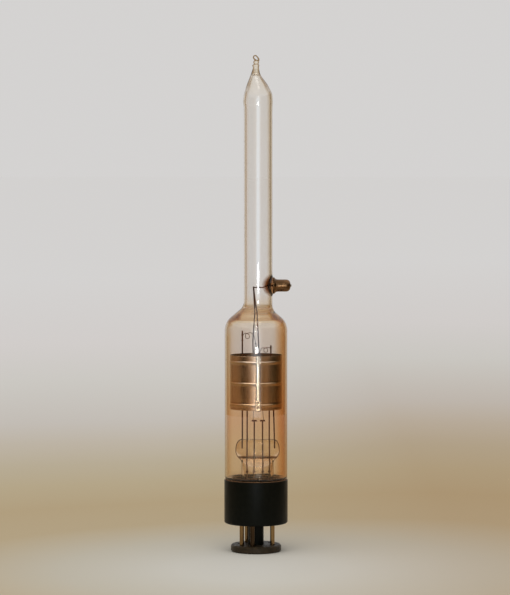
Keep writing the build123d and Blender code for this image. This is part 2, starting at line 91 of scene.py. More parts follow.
def splineThrough(points, steps):
    # Smooth line through a few points, by Catmull and Rom's formula
    vectors = [Vector(point) for point in points]
    padded = [vectors[0] * 2 - vectors[1]] + vectors + [vectors[-1] * 2 - vectors[-2]]
    line = []
    for before, start, end, after in zip(padded, padded[1:], padded[2:], padded[3:]):
        for step in range(steps):
            share = step / steps
            line.append(0.5 * (2 * start + (end - before) * share
                               + (2 * before - 5 * start + 4 * end - after) * share * share
                               + (3 * start - before - 3 * end + after) * share ** 3))
    return line + [vectors[-1]]


def ringVerts(rings, segments):
    # A ring is (left point, right point, depth share); each point is (x, z)
    verts = []
    for left, right, depth in rings:
        middle = (left + right) / 2
        reach = (right - left) / 2
        for step in range(segments):
            turn = 2 * math.pi * step / segments
            verts.append([middle.x + reach.x * math.cos(turn), reach.x * depth * math.sin(turn),
                          middle.y + reach.y * math.cos(turn)])
    return verts


def ringFaces(ringCount, segments, first=0, flip=False):
    faces = []
    for ring in range(ringCount - 1):
        for step in range(segments):
            here = first + ring * segments + step
            near = first + ring * segments + (step + 1) % segments
            quad = (here, near, near + segments, here + segments)
            faces.append(quad[::-1] if flip else quad)
    return faces


def shellPiece(outerRings, innerRings, segments):
    # Closed wall between two stacks of rings that are open below and shut above
    verts = ringVerts(outerRings, segments) + ringVerts(innerRings, segments)
    inner = len(outerRings) * segments
    faces = ringFaces(len(outerRings), segments) + ringFaces(len(innerRings), segments, inner, True)
    faces.append(tuple(range(inner - segments, inner)))
    faces.append(tuple(range(len(verts) - 1, len(verts) - segments - 1, -1)))
    for step in range(segments):
        near = (step + 1) % segments
        faces.append((step, inner + step, inner + near, near))
    return verts, faces


def lathe(outline, segments, middle=(0, 0, 0), axis="Z"):
    # Closed outline of (radius, height) points turned about an axis through middle
    verts, faces = [], []
    count = len(outline)
    for step in range(segments):
        turn = 2 * math.pi * step / segments
        for radius, height in outline:
            across, along = radius * math.cos(turn), radius * math.sin(turn)
            if axis == "Z":
                verts.append([middle[0] + across, middle[1] + along, middle[2] + height])
            else:
                verts.append([middle[0] + height, middle[1] + across, middle[2] + along])
    for step in range(segments):
        here, there = step * count, (step + 1) % segments * count
        for index in range(count):
            ahead = (index + 1) % count
            faces.append((here + index, there + index, there + ahead, here + ahead))
    return verts, faces


def newMaterial(name):
    material = bpy.data.materials.new(name)
    material.use_nodes = True
    nodes, links = material.node_tree.nodes, material.node_tree.links
    nodes.clear()
    output = nodes.new("ShaderNodeOutputMaterial")
    output.name = "output"
    shader = nodes.new("ShaderNodeBsdfPrincipled")
    links.new(shader.outputs["BSDF"], output.inputs["Surface"])
    return material, nodes, links, shader


def feed(links, socket, value):
    # Links another socket to this one, or sets a number or a colour on it
    if isinstance(value, bpy.types.NodeSocket):
        links.new(value, socket)
    elif isinstance(value, (int, float)):
        socket.default_value = value
    else:
        socket.default_value = (*value, 1)


def calculate(nodes, links, operation, *values):
    node = nodes.new("ShaderNodeMath")
    node.operation = operation
    for socket, value in zip(node.inputs, values):
        feed(links, socket, value)
    return node.outputs[0]


def objectPosition(nodes):
    return nodes.new("ShaderNodeTexCoord").outputs["Object"]


def objectAxes(nodes, links):
    # Sockets X, Y and Z of the object's own space, in metres
    axes = nodes.new("ShaderNodeSeparateXYZ")
    links.new(objectPosition(nodes), axes.inputs["Vector"])
    return axes.outputs


def distanceTo(nodes, links, place, stretch=(1, 1, 1)):
    # Metres from a place in the object's own space, once that space is stretched
    stretched = nodes.new("ShaderNodeVectorMath")
    stretched.operation = "MULTIPLY"
    stretched.inputs[1].default_value = stretch
    links.new(objectPosition(nodes), stretched.inputs[0])
    apart = nodes.new("ShaderNodeVectorMath")
    apart.operation = "DISTANCE"
    apart.inputs[1].default_value = place
    links.new(stretched.outputs["Vector"], apart.inputs[0])
    return apart.outputs["Value"]


def grain(nodes, links, scale, detail=4.0, stretch=(1, 1, 1), roughness=0.55):
    # Noise in the object's own space; a small stretch draws it out along that axis
    mapping = nodes.new("ShaderNodeMapping")
    mapping.inputs["Scale"].default_value = stretch
    texture = nodes.new("ShaderNodeTexNoise")
    texture.inputs["Scale"].default_value = scale
    texture.inputs["Detail"].default_value = detail
    texture.inputs["Roughness"].default_value = roughness
    links.new(objectPosition(nodes), mapping.inputs["Vector"])
    links.new(mapping.outputs["Vector"], texture.inputs["Vector"])
    return texture.outputs["Fac"]


def ramp(nodes, links, source, stops):
    node = nodes.new("ShaderNodeValToRGB")
    elements = node.color_ramp.elements
    while len(elements) < len(stops):
        elements.new(0.5)
    for element, (position, colour) in zip(elements, stops):
        element.position = position
        element.color = (*colour, 1)
    links.new(source, node.inputs["Fac"])
    return node.outputs["Color"]


def spread(nodes, links, source, low, high, fromLow=0.3, fromHigh=0.7):
    node = nodes.new("ShaderNodeMapRange")
    node.inputs["From Min"].default_value = fromLow
    node.inputs["From Max"].default_value = fromHigh
    node.inputs["To Min"].default_value = low
    node.inputs["To Max"].default_value = high
    links.new(source, node.inputs["Value"])
    return node.outputs["Result"]


def bump(nodes, links, source, shader, strength, distance):
    node = nodes.new("ShaderNodeBump")
    node.inputs["Strength"].default_value = strength
    node.inputs["Distance"].default_value = distance
    links.new(source, node.inputs["Height"])
    links.new(node.outputs["Normal"], shader.inputs["Normal"])


def mixColours(nodes, links, share, first, second, kind="MIX"):
    node = nodes.new("ShaderNodeMix")
    node.data_type = "RGBA"
    node.blend_type = kind
    for number, value in ((0, share), (6, first), (7, second)):  # 6 and 7 are its two colour sockets
        feed(links, node.inputs[number], value)
    return node.outputs[2]


def heightShare(nodes, links, low, high):
    # 0 at height low, 1 at height high, in metres up the object
    return spread(nodes, links, objectAxes(nodes, links)["Z"], 0, 1, low, high)


def zoneShare(nodes, links, source, zone):
    # 1 between the middle two of four values, fading to 0 at the outer two
    lowFade, lowFull, highFull, highFade = zone
    return calculate(nodes, links, "MULTIPLY", spread(nodes, links, source, 0, 1, lowFade, lowFull),
                     spread(nodes, links, source, 1, 0, highFull, highFade))


def lampsPass(nodes, links, shader, tint):
    # Lets lamp light through glass as a plain tint, so that what is inside is lit
    path = nodes.new("ShaderNodeLightPath")
    clear = nodes.new("ShaderNodeBsdfTransparent")
    clear.inputs["Color"].default_value = (*tint, 1)
    mix = nodes.new("ShaderNodeMixShader")
    links.new(path.outputs["Is Shadow Ray"], mix.inputs["Fac"])
    links.new(shader.outputs["BSDF"], mix.inputs[1])
    links.new(clear.outputs["BSDF"], mix.inputs[2])
    links.new(mix.outputs["Shader"], nodes["output"].inputs["Surface"])


# Film on the glass by height; the narrow steps near 0.122, 0.125 and 0.127 are the rings left by sealing
bulbTints = [(0.020, (0.60, 0.34, 0.15)), (0.0371, (0.62, 0.36, 0.17)), (0.0376, (0.96, 0.84, 0.68)),
             (0.0392, (0.97, 0.86, 0.74)),
             (0.0405, (0.99, 0.895, 0.79)), (0.046, (0.99, 0.895, 0.79)), (0.057, (0.99, 0.855, 0.69)),
             (0.069, (0.97, 0.785, 0.61)), (0.085, (0.955, 0.83, 0.69)), (0.105, (0.935, 0.89, 0.86)),
             (0.119, (0.95, 0.90, 0.84)), (0.1210, (0.96, 0.87, 0.74)), (0.1217, (0.66, 0.42, 0.20)),
             (0.1223, (0.96, 0.86, 0.72)), (0.1238, (0.97, 0.88, 0.76)), (0.1246, (0.58, 0.34, 0.13)),
             (0.1253, (0.97, 0.89, 0.78)), (0.1265, (0.98, 0.92, 0.83)), (0.1272, (0.56, 0.34, 0.15)),
             (0.1279, (0.985, 0.93, 0.85)), (0.134, (0.995, 0.985, 0.97)), (0.150, (1, 1, 1)),
             (0.258, (1, 0.99, 0.97))]
# The dark line near 0.049 is painted shade, for how the meniscus at the top of the hollow stem bends the
# light
stemTints = [(0.02, (0.97, 0.91, 0.82)), (0.044, (0.98, 0.93, 0.86)), (0.0482, (0.92, 0.80, 0.66)),
             (0.0487, (0.20, 0.10, 0.05)), (0.0494, (0.16, 0.08, 0.04)), (0.0499, (0.95, 0.88, 0.80)),
             (0.052, (0.98, 0.94, 0.88)), (0.06, (0.98, 0.94, 0.88))]
curlTints = [(0.25, (0.50, 0.36, 0.20)), (0.26, (0.42, 0.29, 0.15))]
# Painted edge shade, for the dark and amber the glass refracts at its edges, by how far a wall turns away: 0
# is square to the eye and 1 is edge on
edgeShadeStops = {
    "clear": [(0.0, (1, 1, 1)), (0.45, (1, 0.995, 0.99)), (0.7, (0.88, 0.81, 0.72)),
              (0.85, (0.60, 0.48, 0.36)), (1.0, (0.45, 0.32, 0.20))],
    "body": [(0.0, (1, 1, 1)), (0.33, (0.985, 0.965, 0.93)), (0.45, (0.97, 0.90, 0.79)),
             (0.6, (0.80, 0.62, 0.38)), (0.8, (0.56, 0.38, 0.20)), (1.0, (0.34, 0.20, 0.09))],
    "shoulder": [(0.0, (1, 0.99, 0.97)), (0.38, (0.985, 0.95, 0.88)), (0.55, (0.82, 0.60, 0.34)),
                 (0.72, (0.54, 0.27, 0.09)), (1.0, (0.36, 0.15, 0.04))],
    "tip": [(0.0, (1, 0.995, 0.985)), (0.34, (0.98, 0.96, 0.92)), (0.45, (0.72, 0.58, 0.42)),
            (0.55, (0.34, 0.22, 0.12)), (0.7, (0.16, 0.09, 0.04)), (1.0, (0.08, 0.04, 0.015))],
    "stalk": [(0.0, (0.99, 0.96, 0.88)), (0.12, (0.93, 0.85, 0.70)), (0.26, (0.60, 0.45, 0.28)),
              (0.42, (0.30, 0.18, 0.08)), (1.0, (0.10, 0.05, 0.02))],
}
# Heights at which a zone's painted edge shade starts, is full, starts to fade and is gone
edgeShadeZones = {"body": (0.0392, 0.0405, 0.112, 0.118), "shoulder": (0.115, 0.120, 0.1265, 0.130),
             "tip": (0.236, 0.242, 0.3, 0.4), "stalk": (0.2468, 0.2490, 0.3, 0.4)}
# Browner towards the cap's side, by distance across the body and across the neck
sideVeil = {"bodySpan": (0.0095, 0.0148), "neckSpan": (0.0058, 0.0082), "change": (0.122, 0.130),
            "bodyStops": [(0.0, (1, 1, 1)), (0.55, (0.955, 0.81, 0.65)), (1.0, (0.93, 0.74, 0.53))],
            "neckStops": [(0.0, (1, 1, 1)), (0.5, (0.97, 0.93, 0.87)), (1.0, (0.82, 0.76, 0.66))]}
armBurn = {"place": (0.0086, 0.0, 0.1385), "stretch": (1.0, 0.35, 1.0), "inner": 0.0034, "outer": 0.0060,
           "colour": (0.38, 0.18, 0.07)}
# Painted dark amber wedges on the shoulder's sides, standing in for what the thick glass there refracts
paintedWedges = {"fall": 0.45, "heights": (0.1258, 0.1268, 0.1282, 0.1292), "sides": (0.0076, 0.0092),
          "colour": (0.36, 0.15, 0.04)}
glassBasics = {"ior": 1.5, "density": 30, "cloudScale": 60, "waveStretch": (1, 1, 0.35), "waveDepth": 0.0004,
               "cloudStops": [(0.35, (1, 0.993, 0.985)), (0.65, (1, 1, 1))], "lampTint": (0.97, 0.94, 0.90)}


def paintedWedgeShare(nodes, links, axes):
    # Painted dark amber wedges at both sides of the sealed shoulder, for what its thick glass refracts, along
    # a line that falls outwards
    aside = calculate(nodes, links, "ABSOLUTE", axes["X"])
    line = calculate(nodes, links, "MULTIPLY_ADD", aside, paintedWedges["fall"], axes["Z"])
    return calculate(nodes, links, "MULTIPLY", zoneShare(nodes, links, line, paintedWedges["heights"]),
                     spread(nodes, links, aside, 0, 1, *paintedWedges["sides"]))


def capSideColour(nodes, links, colour, axes):
    # The side veil, the shoulder's painted wedges of dark refraction and the burn where the side arm was
    # sealed on
    onBody = ramp(nodes, links, spread(nodes, links, axes["X"], 0, 1, *sideVeil["bodySpan"]),
                  sideVeil["bodyStops"])
    onNeck = ramp(nodes, links, spread(nodes, links, axes["X"], 0, 1, *sideVeil["neckSpan"]),
                  sideVeil["neckStops"])
    upNeck = spread(nodes, links, axes["Z"], 0, 1, *sideVeil["change"])
    veil = mixColours(nodes, links, upNeck, onBody, onNeck)
    colour = mixColours(nodes, links, 1.0, colour, veil, "MULTIPLY")
    colour = mixColours(nodes, links, paintedWedgeShare(nodes, links, axes), colour, paintedWedges["colour"])
    apart = distanceTo(nodes, links, armBurn["place"], armBurn["stretch"])
    near = spread(nodes, links, apart, 1, 0, armBurn["inner"], armBurn["outer"])
    return mixColours(nodes, links, near, colour, armBurn["colour"])


def glassFinish(name, tints, edges, absorb, waviness, zones=(), capSide=False):
    # Old drawn glass: evaporated film tints it by height, and painted edge shade makes its edges darker and
    # amber, for what they refract
    material, nodes, links, shader = newMaterial(name)
    shader.inputs["Transmission Weight"].default_value = 1.0
    shader.inputs["IOR"].default_value = glassBasics["ior"]
    shader.inputs["Roughness"].default_value = 0.0
    axes = objectAxes(nodes, links)
    low, high = tints[0][0], tints[-1][0]
    stops = [((level - low) / (high - low), colour) for level, colour in tints]
    colour = ramp(nodes, links, heightShare(nodes, links, low, high), stops)
    clouds = ramp(nodes, links, grain(nodes, links, glassBasics["cloudScale"], 3), glassBasics["cloudStops"])
    colour = mixColours(nodes, links, 1.0, colour, clouds, "MULTIPLY")
    # Painted edge shade: the walls turn darker and amber as they turn from the eye
    slant = nodes.new("ShaderNodeLayerWeight")
    slant.inputs["Blend"].default_value = 0.5
    rim = ramp(nodes, links, slant.outputs["Facing"], edgeShadeStops[edges])
    for zone in zones:
        rim = mixColours(nodes, links, zoneShare(nodes, links, axes["Z"], edgeShadeZones[zone]), rim,
                         ramp(nodes, links, slant.outputs["Facing"], edgeShadeStops[zone]))
    colour = mixColours(nodes, links, 1.0, colour, rim, "MULTIPLY")
    if capSide:
        colour = capSideColour(nodes, links, colour, axes)
    links.new(colour, shader.inputs["Base Color"])
    waves = grain(nodes, links, glassBasics["cloudScale"], 1, glassBasics["waveStretch"])
    bump(nodes, links, waves, shader, waviness, glassBasics["waveDepth"])
    volume = nodes.new("ShaderNodeVolumeAbsorption")
    volume.inputs["Color"].default_value = (*absorb, 1)
    volume.inputs["Density"].default_value = glassBasics["density"]
    links.new(volume.outputs["Volume"], nodes["output"].inputs["Volume"])
    lampsPass(nodes, links, shader, glassBasics["lampTint"])
    return material


def metalFinish(name, dark, bright, scale, stretch, roughness, metallic=1.0, bumpDepth=0.0, edge=(1, 1, 1),
                foot=None):
    # Drawn or rolled metal with tarnish that varies along it
    # foot is (low, high, colour) for a bright lower end
    material, nodes, links, shader = newMaterial(name)
    shader.inputs["Metallic"].default_value = metallic
    shader.inputs["Specular Tint"].default_value = (*edge, 1)
    field = grain(nodes, links, scale, 5, stretch)
    colour = ramp(nodes, links, field, [(0.34, dark), (0.66, bright)])
    if foot:
        low, high, footColour = foot
        colour = mixColours(nodes, links, heightShare(nodes, links, low, high), footColour, colour)
    links.new(colour, shader.inputs["Base Color"])
    fine = grain(nodes, links, scale * 3, 3, stretch)
    links.new(spread(nodes, links, fine, roughness * 0.75, roughness * 1.3), shader.inputs["Roughness"])
    if bumpDepth:
        bump(nodes, links, fine, shader, 0.5, bumpDepth)
    return material


def mouldingFinish(name, dark, worn, gloss, speckle, shine):
    # Moulded phenolic: near black, faintly mottled, with dust and fine rub marks
    material, nodes, links, shader = newMaterial(name)
    mottle = grain(nodes, links, speckle, 8, roughness=0.7)
    links.new(ramp(nodes, links, mottle, [(0.3, dark), (0.72, worn)]), shader.inputs["Base Color"])
    rubs = grain(nodes, links, speckle * 1.6, 4, (1, 1, 0.15))
    links.new(spread(nodes, links, rubs, gloss, gloss * 1.8), shader.inputs["Roughness"])
    shader.inputs["Specular IOR Level"].default_value = shine
    bump(nodes, links, mottle, shader, 0.25, 0.00006)
    return material


cementLook = {"scale": 900, "roughness": (0.62, 0.92), "bumpDepth": 0.0003,
              "stops": [(0.3, (0.045, 0.020, 0.007)), (0.5, (0.105, 0.052, 0.020)),
                        (0.75, (0.20, 0.115, 0.055))]}


def cementFinish():
    # Baked basing cement: brown, grainy and dull
    material, nodes, links, shader = newMaterial("basingCement")
    field = grain(nodes, links, cementLook["scale"], 8, roughness=0.75)
    links.new(ramp(nodes, links, field, cementLook["stops"]), shader.inputs["Base Color"])
    links.new(spread(nodes, links, field, *cementLook["roughness"]), shader.inputs["Roughness"])
    bump(nodes, links, field, shader, 0.7, cementLook["bumpDepth"])
    return material


collectorSizes = {"radius": 13.6, "sheet": 0.25, "bottom": 74.5, "top": 102.5, "beads": (2.8, 13.8, 24.8),
                  "beadWidth": 0.85, "beadHeight": 0.28, "seamWidth": 2.1, "seamRise": 0.33, "seamFade": 0.16,
                  "rimRoll": 0.08, "rimFade": 0.1, "dent": 0.05, "levelStep": 0.2}
collectorLook = {"heatStops": [(0.3, (0.50, 0.36, 0.24)), (0.5, (0.60, 0.46, 0.32)),
                               (0.72, (0.68, 0.55, 0.42))],
                 "streakStops": [(0.3, (0.80, 0.77, 0.74)), (0.7, (1.0, 1.0, 1.0))],
                 "paintedBeadHighlight": (1.0, 0.96, 0.90), "beadHighlightBand": (-0.0001, 0.0001, 0.0004, 0.0006),
                 "lap": (0.76, 0.77, 0.70), "lapSpan": (-0.001, 0.003), "lapFront": (-0.0135, -0.0130),
                 "roughness": (0.15, 0.26)}


def collectorFinish():
    # Rolled nickel sheet, browned by heat in drawn streaks, with a painted highlight along the beads' crests,
    # and greyer on the lapped seam
    material, nodes, links, shader = newMaterial("nickelSheet")
    shader.inputs["Metallic"].default_value = 1.0
    axes = objectAxes(nodes, links)
    heat = ramp(nodes, links, grain(nodes, links, 70, 5, (1, 1, 0.4)), collectorLook["heatStops"])
    streaks = grain(nodes, links, 300, 6, (1, 1, 0.05))
    colour = mixColours(nodes, links, 1.0, heat, ramp(nodes, links, streaks, collectorLook["streakStops"]),
                        "MULTIPLY")
    # Painted highlight: a pale band along each bead's crest
    for bead in collectorSizes["beads"]:
        height = mm * (collectorSizes["bottom"] + bead)
        band = [height + offset for offset in collectorLook["beadHighlightBand"]]
        onBeadHighlight = zoneShare(nodes, links, axes["Z"], band)
        colour = mixColours(nodes, links, onBeadHighlight, colour, collectorLook["paintedBeadHighlight"])
    front = spread(nodes, links, axes["Y"], 1, 0, *collectorLook["lapFront"])
    across = spread(nodes, links, axes["X"], 0, 1, *collectorLook["lapSpan"])
    lap = ramp(nodes, links, across,
               [(0.24, (0, 0, 0)), (0.26, (1, 1, 1)), (0.765, (1, 1, 1)), (0.785, (0, 0, 0))])
    onSeam = mixColours(nodes, links, 1.0, lap, front, "MULTIPLY")
    links.new(mixColours(nodes, links, onSeam, colour, collectorLook["lap"]), shader.inputs["Base Color"])
    links.new(spread(nodes, links, streaks, *collectorLook["roughness"]), shader.inputs["Roughness"])
    bump(nodes, links, streaks, shader, 0.08, 0.00002)
    return material


rodEdge = (0.62, 0.26, 0.10)
glasses = {
    "bulbGlass": {"tints": bulbTints, "edges": "clear", "absorb": (0.80, 0.60, 0.38), "waviness": 0.035,
                  "zones": ("body", "shoulder", "tip", "stalk"), "capSide": True},
    "curlGlass": {"tints": curlTints, "edges": "tip", "absorb": (0.80, 0.60, 0.38), "waviness": 0.0},
    "stemGlass": {"tints": stemTints, "edges": "clear", "absorb": (0.72, 0.50, 0.30), "waviness": 0.06},
}
mouldings = {
    "baseMoulding": {"dark": (0.0015, 0.0021, 0.0012), "worn": (0.0045, 0.0048, 0.0030), "gloss": 0.26,
                     "speckle": 420, "shine": 0.09},
    "guardMoulding": {"dark": (0.012, 0.0085, 0.0035), "worn": (0.040, 0.025, 0.011), "gloss": 0.36,
                      "speckle": 520, "shine": 0.22},
}
metals = {
    "nickelRod": {"dark": (0.035, 0.010, 0.003), "bright": (0.12, 0.042, 0.014), "scale": 320,
                  "stretch": (1, 1, 0.3), "roughness": 0.34, "metallic": 0.95, "edge": rodEdge},
    "fineWire": {"dark": (0.05, 0.020, 0.009), "bright": (0.16, 0.075, 0.035), "scale": 700,
                 "stretch": (1, 1, 1), "roughness": 0.35, "edge": rodEdge},
    "filamentWire": {"dark": (0.03, 0.024, 0.02), "bright": (0.12, 0.10, 0.085), "scale": 900,
                     "stretch": (1, 1, 1), "roughness": 0.4},
    "sealWire": {"dark": (0.04, 0.009, 0.005), "bright": (0.12, 0.030, 0.014), "scale": 380,
                 "stretch": (1, 1, 0.4), "roughness": 0.4, "metallic": 0.9, "edge": rodEdge},
    "copperWire": {"dark": (0.09, 0.045, 0.02), "bright": (0.26, 0.13, 0.06), "scale": 420,
                   "stretch": (1, 1, 0.5), "roughness": 0.38},
    "pinMetal": {"dark": (0.14, 0.075, 0.028), "bright": (0.36, 0.23, 0.10), "scale": 240,
                 "stretch": (1, 1, 0.2), "roughness": 0.16},
    # A darker copy of the pin metal, painted shade for the dark that pin 5 mirrors
    "pinDull": {"dark": (0.035, 0.020, 0.010), "bright": (0.12, 0.075, 0.040), "scale": 240,
                "stretch": (1, 1, 0.2), "roughness": 0.24},
    "legMetal": {"dark": (0.035, 0.010, 0.003), "bright": (0.12, 0.042, 0.014), "scale": 320,
                 "stretch": (1, 1, 0.3), "roughness": 0.24, "edge": rodEdge,
                 "foot": (0.1026, 0.1034, (0.93, 0.92, 0.86))},
    "solder": {"dark": (0.22, 0.20, 0.17), "bright": (0.55, 0.50, 0.44), "scale": 900,
               "stretch": (1, 1, 1), "roughness": 0.36, "bumpDepth": 0.00005},
    "capMetal": {"dark": (0.085, 0.045, 0.018), "bright": (0.27, 0.145, 0.07), "scale": 330,
                 "stretch": (0.3, 1, 1), "roughness": 0.26, "bumpDepth": 0.00002},
    "leadWire": {"dark": (0.03, 0.010, 0.005), "bright": (0.10, 0.04, 0.02), "scale": 420,
                 "stretch": (0.4, 1, 1), "roughness": 0.4, "metallic": 0.95, "edge": rodEdge},
    "tabSheet": {"dark": (0.42, 0.36, 0.27), "bright": (0.90, 0.87, 0.78), "scale": 420,
                 "stretch": (1, 1, 0.5), "roughness": 0.2, "bumpDepth": 0.00003},
}
finishes = {"cement": cementFinish(), "nickelSheet": collectorFinish()}
for make, looks in ((glassFinish, glasses), (mouldingFinish, mouldings), (metalFinish, metals)):
    for name, look in looks.items():
        finishes[name] = make(name, **look)
print("finishes made")

# Bulb, neck and sealed tip as one blown piece; ledgeRounds are the inner and outer radius of its lower ledge

bulbSizes = {"wall": 1.2, "footRadius": 14.1, "footBottom": 20.5, "ledge": 37.65, "ledgeRounds": (0.66, 1.36),
             "bodyRadius": 16.3, "bodyRings": (20, 40, 60), "shoulderBottom": 115.1, "shoulderRound": 9.3,
             "coneAngle": 40, "neckLeft": -6.3, "neckRight": 8.5, "neckMiddle": 1.1, "neckBlend": 6.0,
             "neckFoot": 4.5, "armBand": (133.0, 144.0), "armStep": 0.5, "neckStep": 5.0, "neckTop": 229.0,
             "thinFrom": 246, "thinShare": 0.8, "hollowEnd": (248.0, -0.5, 0.4), "segments": 144}
# Height, left and right of the drawn-down tip, and of the stalk above it
tipProfile = [(229.0, -6.3, 8.5), (231.0, -6.38, 8.56), (232.6, -6.62, 8.64), (234.2, -6.72, 8.66),
              (238.0, -6.1, 8.2), (242.6, -4.7, 5.9), (247.3, -2.85, 2.5), (250.4, -1.8, 1.62)]
stalkProfile = [(251.2, -1.6, 1.55), (251.7, -1.68, 1.62), (252.2, -1.95, 1.72), (252.6, -1.85, 1.7),
                (252.95, -1.3, 1.45), (253.15, -1.12, 1.32), (253.45, -1.3, 1.48), (253.9, -1.42, 1.6),
                (254.3, -1.4, 1.58), (254.75, -1.15, 1.42), (255.1, -0.75, 1.1), (255.3, -0.25, 0.6)]
# Hand-worked surface: ripple everywhere, a finer wave on the tip, and grooves (height, width, depth)
workedGlass = {"ripple": 0.035, "rippleScale": (0.09, 0.09, 0.045), "from": 40, "neckChange": (122, 130),
               "tipFrom": 236, "tipWave": 0.02, "tipTurns": 1.3, "outerShare": 0.25,
               "grooves": ((127.2, 0.6, 0.2), (124.6, 0.7, 0.35), (121.8, 0.8, 0.22))}
armSizes = {"height": 138.5, "reach": 9.0, "flat": 3.9, "skirt": 5.6}


def sideOutline(side, skin):
    # One side of the bulb's outline from its foot up to the stalk, drawn in by skin
    sizes = bulbSizes
    neck = abs(sizes["neckLeft"] if side < 0 else sizes["neckRight"]) - skin
    slope = math.tan(math.radians(sizes["coneAngle"]))
    turn = math.radians(90 - sizes["coneAngle"])
    reach = sizes["shoulderRound"] * math.tan(turn / 2)
    drop = skin * math.tan(turn / 2)
    body, foot = sizes["bodyRadius"] - skin, sizes["footRadius"] - skin
    corner = sizes["shoulderBottom"] + reach - drop
    meeting = corner + (body - neck) * slope
    ledge = sizes["ledge"] + skin
    footRound, bodyRound = sizes["ledgeRounds"][::-1] if skin else sizes["ledgeRounds"]
    armLow, armHigh = sizes["armBand"]
    corners = [(foot, sizes["footBottom"], 0), (foot, ledge, footRound), (body, ledge, bodyRound)]
    corners += [(body, ledge + rise, 0) for rise in sizes["bodyRings"]]
    corners += [(body, corner, sizes["shoulderRound"] - skin), (neck, meeting, sizes["neckBlend"] + skin),
                (neck, meeting + sizes["neckFoot"], 0), (neck, armLow, 0)]
    line = roundedOutline(corners, 12)
    armSteps = round((armHigh - armLow) / sizes["armStep"])
    line += [Vector((neck, armLow + step * sizes["armStep"])) for step in range(1, armSteps + 1)]
    neckSteps = round((sizes["neckTop"] - armHigh) / sizes["neckStep"])
    line += [Vector((neck, armHigh + step * sizes["neckStep"])) for step in range(1, neckSteps)]
    tip = []
    for height, left, right in tipProfile[:-1] if skin else tipProfile:
        thin = skin * (1.0 if height < sizes["thinFrom"] else sizes["thinShare"])
        tip.append(Vector(((left if side < 0 else right) - side * thin, height)))
    return [Vector((side * point.x, point.y)) for point in line] + splineThrough(tip, 5)


def ripple(point, amount):
    # Slow waves in hand-worked glass
    scale = workedGlass["rippleScale"]
    return amount * noise.noise(Vector([value * share for value, share in zip(point, scale)]))


def workVert(vert, outside):
    # Moves a vert by the ripple and the grooves, and pulls the outside out flat where the side arm joins
    x, y, z = vert
    if z > workedGlass["from"]:
        middle = bulbSizes["neckMiddle"] * smoothStep(*workedGlass["neckChange"], z)
        away = Vector((x - middle, y))
        shift = ripple(vert, workedGlass["ripple"])
        if z > workedGlass["tipFrom"]:
            shift += workedGlass["tipWave"] * math.sin(z * workedGlass["tipTurns"])
        groove = sum(depth * math.exp(-((z - height) / width) ** 2)
                     for height, width, depth in workedGlass["grooves"])
        shift = min(shift, 0) - workedGlass["outerShare"] * groove if outside else shift - groove
        if away.length > 1:
            away = away.normalized() * (away.length + shift)
            vert[0], vert[1] = middle + away.x, away.y
    if outside and x > bulbSizes["neckMiddle"]:
        fromArm = math.hypot(y, z - armSizes["height"])
        lift = 1 - smoothStep(armSizes["flat"], armSizes["skirt"], fromArm)
        vert[0] += (armSizes["reach"] - vert[0]) * lift


def envelopePiece():
    segments, wall = bulbSizes["segments"], bulbSizes["wall"]
    outer = [(left, right, 1.0) for left, right in zip(sideOutline(-1, 0), sideOutline(1, 0))]
    inner = [(left, right, 1.0) for left, right in zip(sideOutline(-1, wall), sideOutline(1, wall))]
    for rings, profile in ((outer, stalkProfile), (inner, [bulbSizes["hollowEnd"]])):
        rings += [(Vector((left, height)), Vector((right, height)), 1.0) for height, left, right in profile]
    verts, faces = shellPiece(outer, inner, segments)
    for index, vert in enumerate(verts):
        workVert(vert, index < len(outer) * segments)
    piece = addPiece("glassEnvelope", verts, faces, finishes["bulbGlass"], "tube",
                     ("glass_bulb", "glass_tubulation"))
    sharpen(piece, 50)


# Curl of drawn glass at the very end: points along it, and its radius at each
curlSizes = {"sides": 20, "steps": 6,
             "radii": (0.5, 0.42, 0.36, 0.33, 0.32, 0.32, 0.32, 0.33, 0.35, 0.4, 0.45),
             "route": [(1.15, 0, 254.7), (1.36, 0, 255.5), (0.95, 0, 256.3), (0.45, -0.05, 256.95),
                       (-0.1, -0.1, 257.35), (-0.7, -0.15, 257.38), (-1.17, -0.1, 257.0), (-1.32, 0, 256.45),
                       (-1.1, 0.1, 255.9), (-0.65, 0.15, 255.45), (-0.1, 0.15, 255.1)]}


def curlPiece():
    radii, sides, steps = curlSizes["radii"], curlSizes["sides"], curlSizes["steps"]
    line = splineThrough(curlSizes["route"], steps)
    verts = []
    side = Vector((0, 1, 0))
    for index, here in enumerate(line):
        ahead = (line[min(index + 1, len(line) - 1)] - line[max(index - 1, 0)]).normalized()
        side = (side - ahead * side.dot(ahead)).normalized()
        up = ahead.cross(side)
        low = min(index // steps, len(radii) - 2)
        radius = radii[low] + (radii[low + 1] - radii[low]) * (index / steps - low)
        for step in range(sides):
            turn = 2 * math.pi * step / sides
            verts.append(list(here + (side * math.cos(turn) + up * math.sin(turn)) * radius))
    faces = ringFaces(len(line), sides)
    faces.append(tuple(range(sides - 1, -1, -1)))
    faces.append(tuple(range(len(verts) - sides, len(verts))))
    addPiece("sealedCurl", verts, faces, finishes["curlGlass"], "tube")


envelopePiece()
curlPiece()
print("glass envelope made")

# Stem with its flare, tube and pinched press: the press is the tube squeezed flat, so it widens as it thins

stemSizes = {"middle": 0.8, "tube": 8.5, "wall": 1.2, "gap": 0.02, "hollowTop": 49.1, "pressTop": 58.55,
             "pressHalf": 11.55, "thinnest": 0.02, "waveFrom": 30, "waveScale": (2.2, 2.2, 2.5),
             "waveDepth": 0.07, "segments": 96}


def stemStack(rows):
    # A row is (half width, height, depth share, share of the stem's offset)
    rings = []
    for half, height, depth, offset in splineThrough(rows, 5):
        middle = stemSizes["middle"] * offset
        rings.append((Vector((middle - half, height)), Vector((middle + half, height)),
                      max(depth, stemSizes["thinnest"])))
    return rings


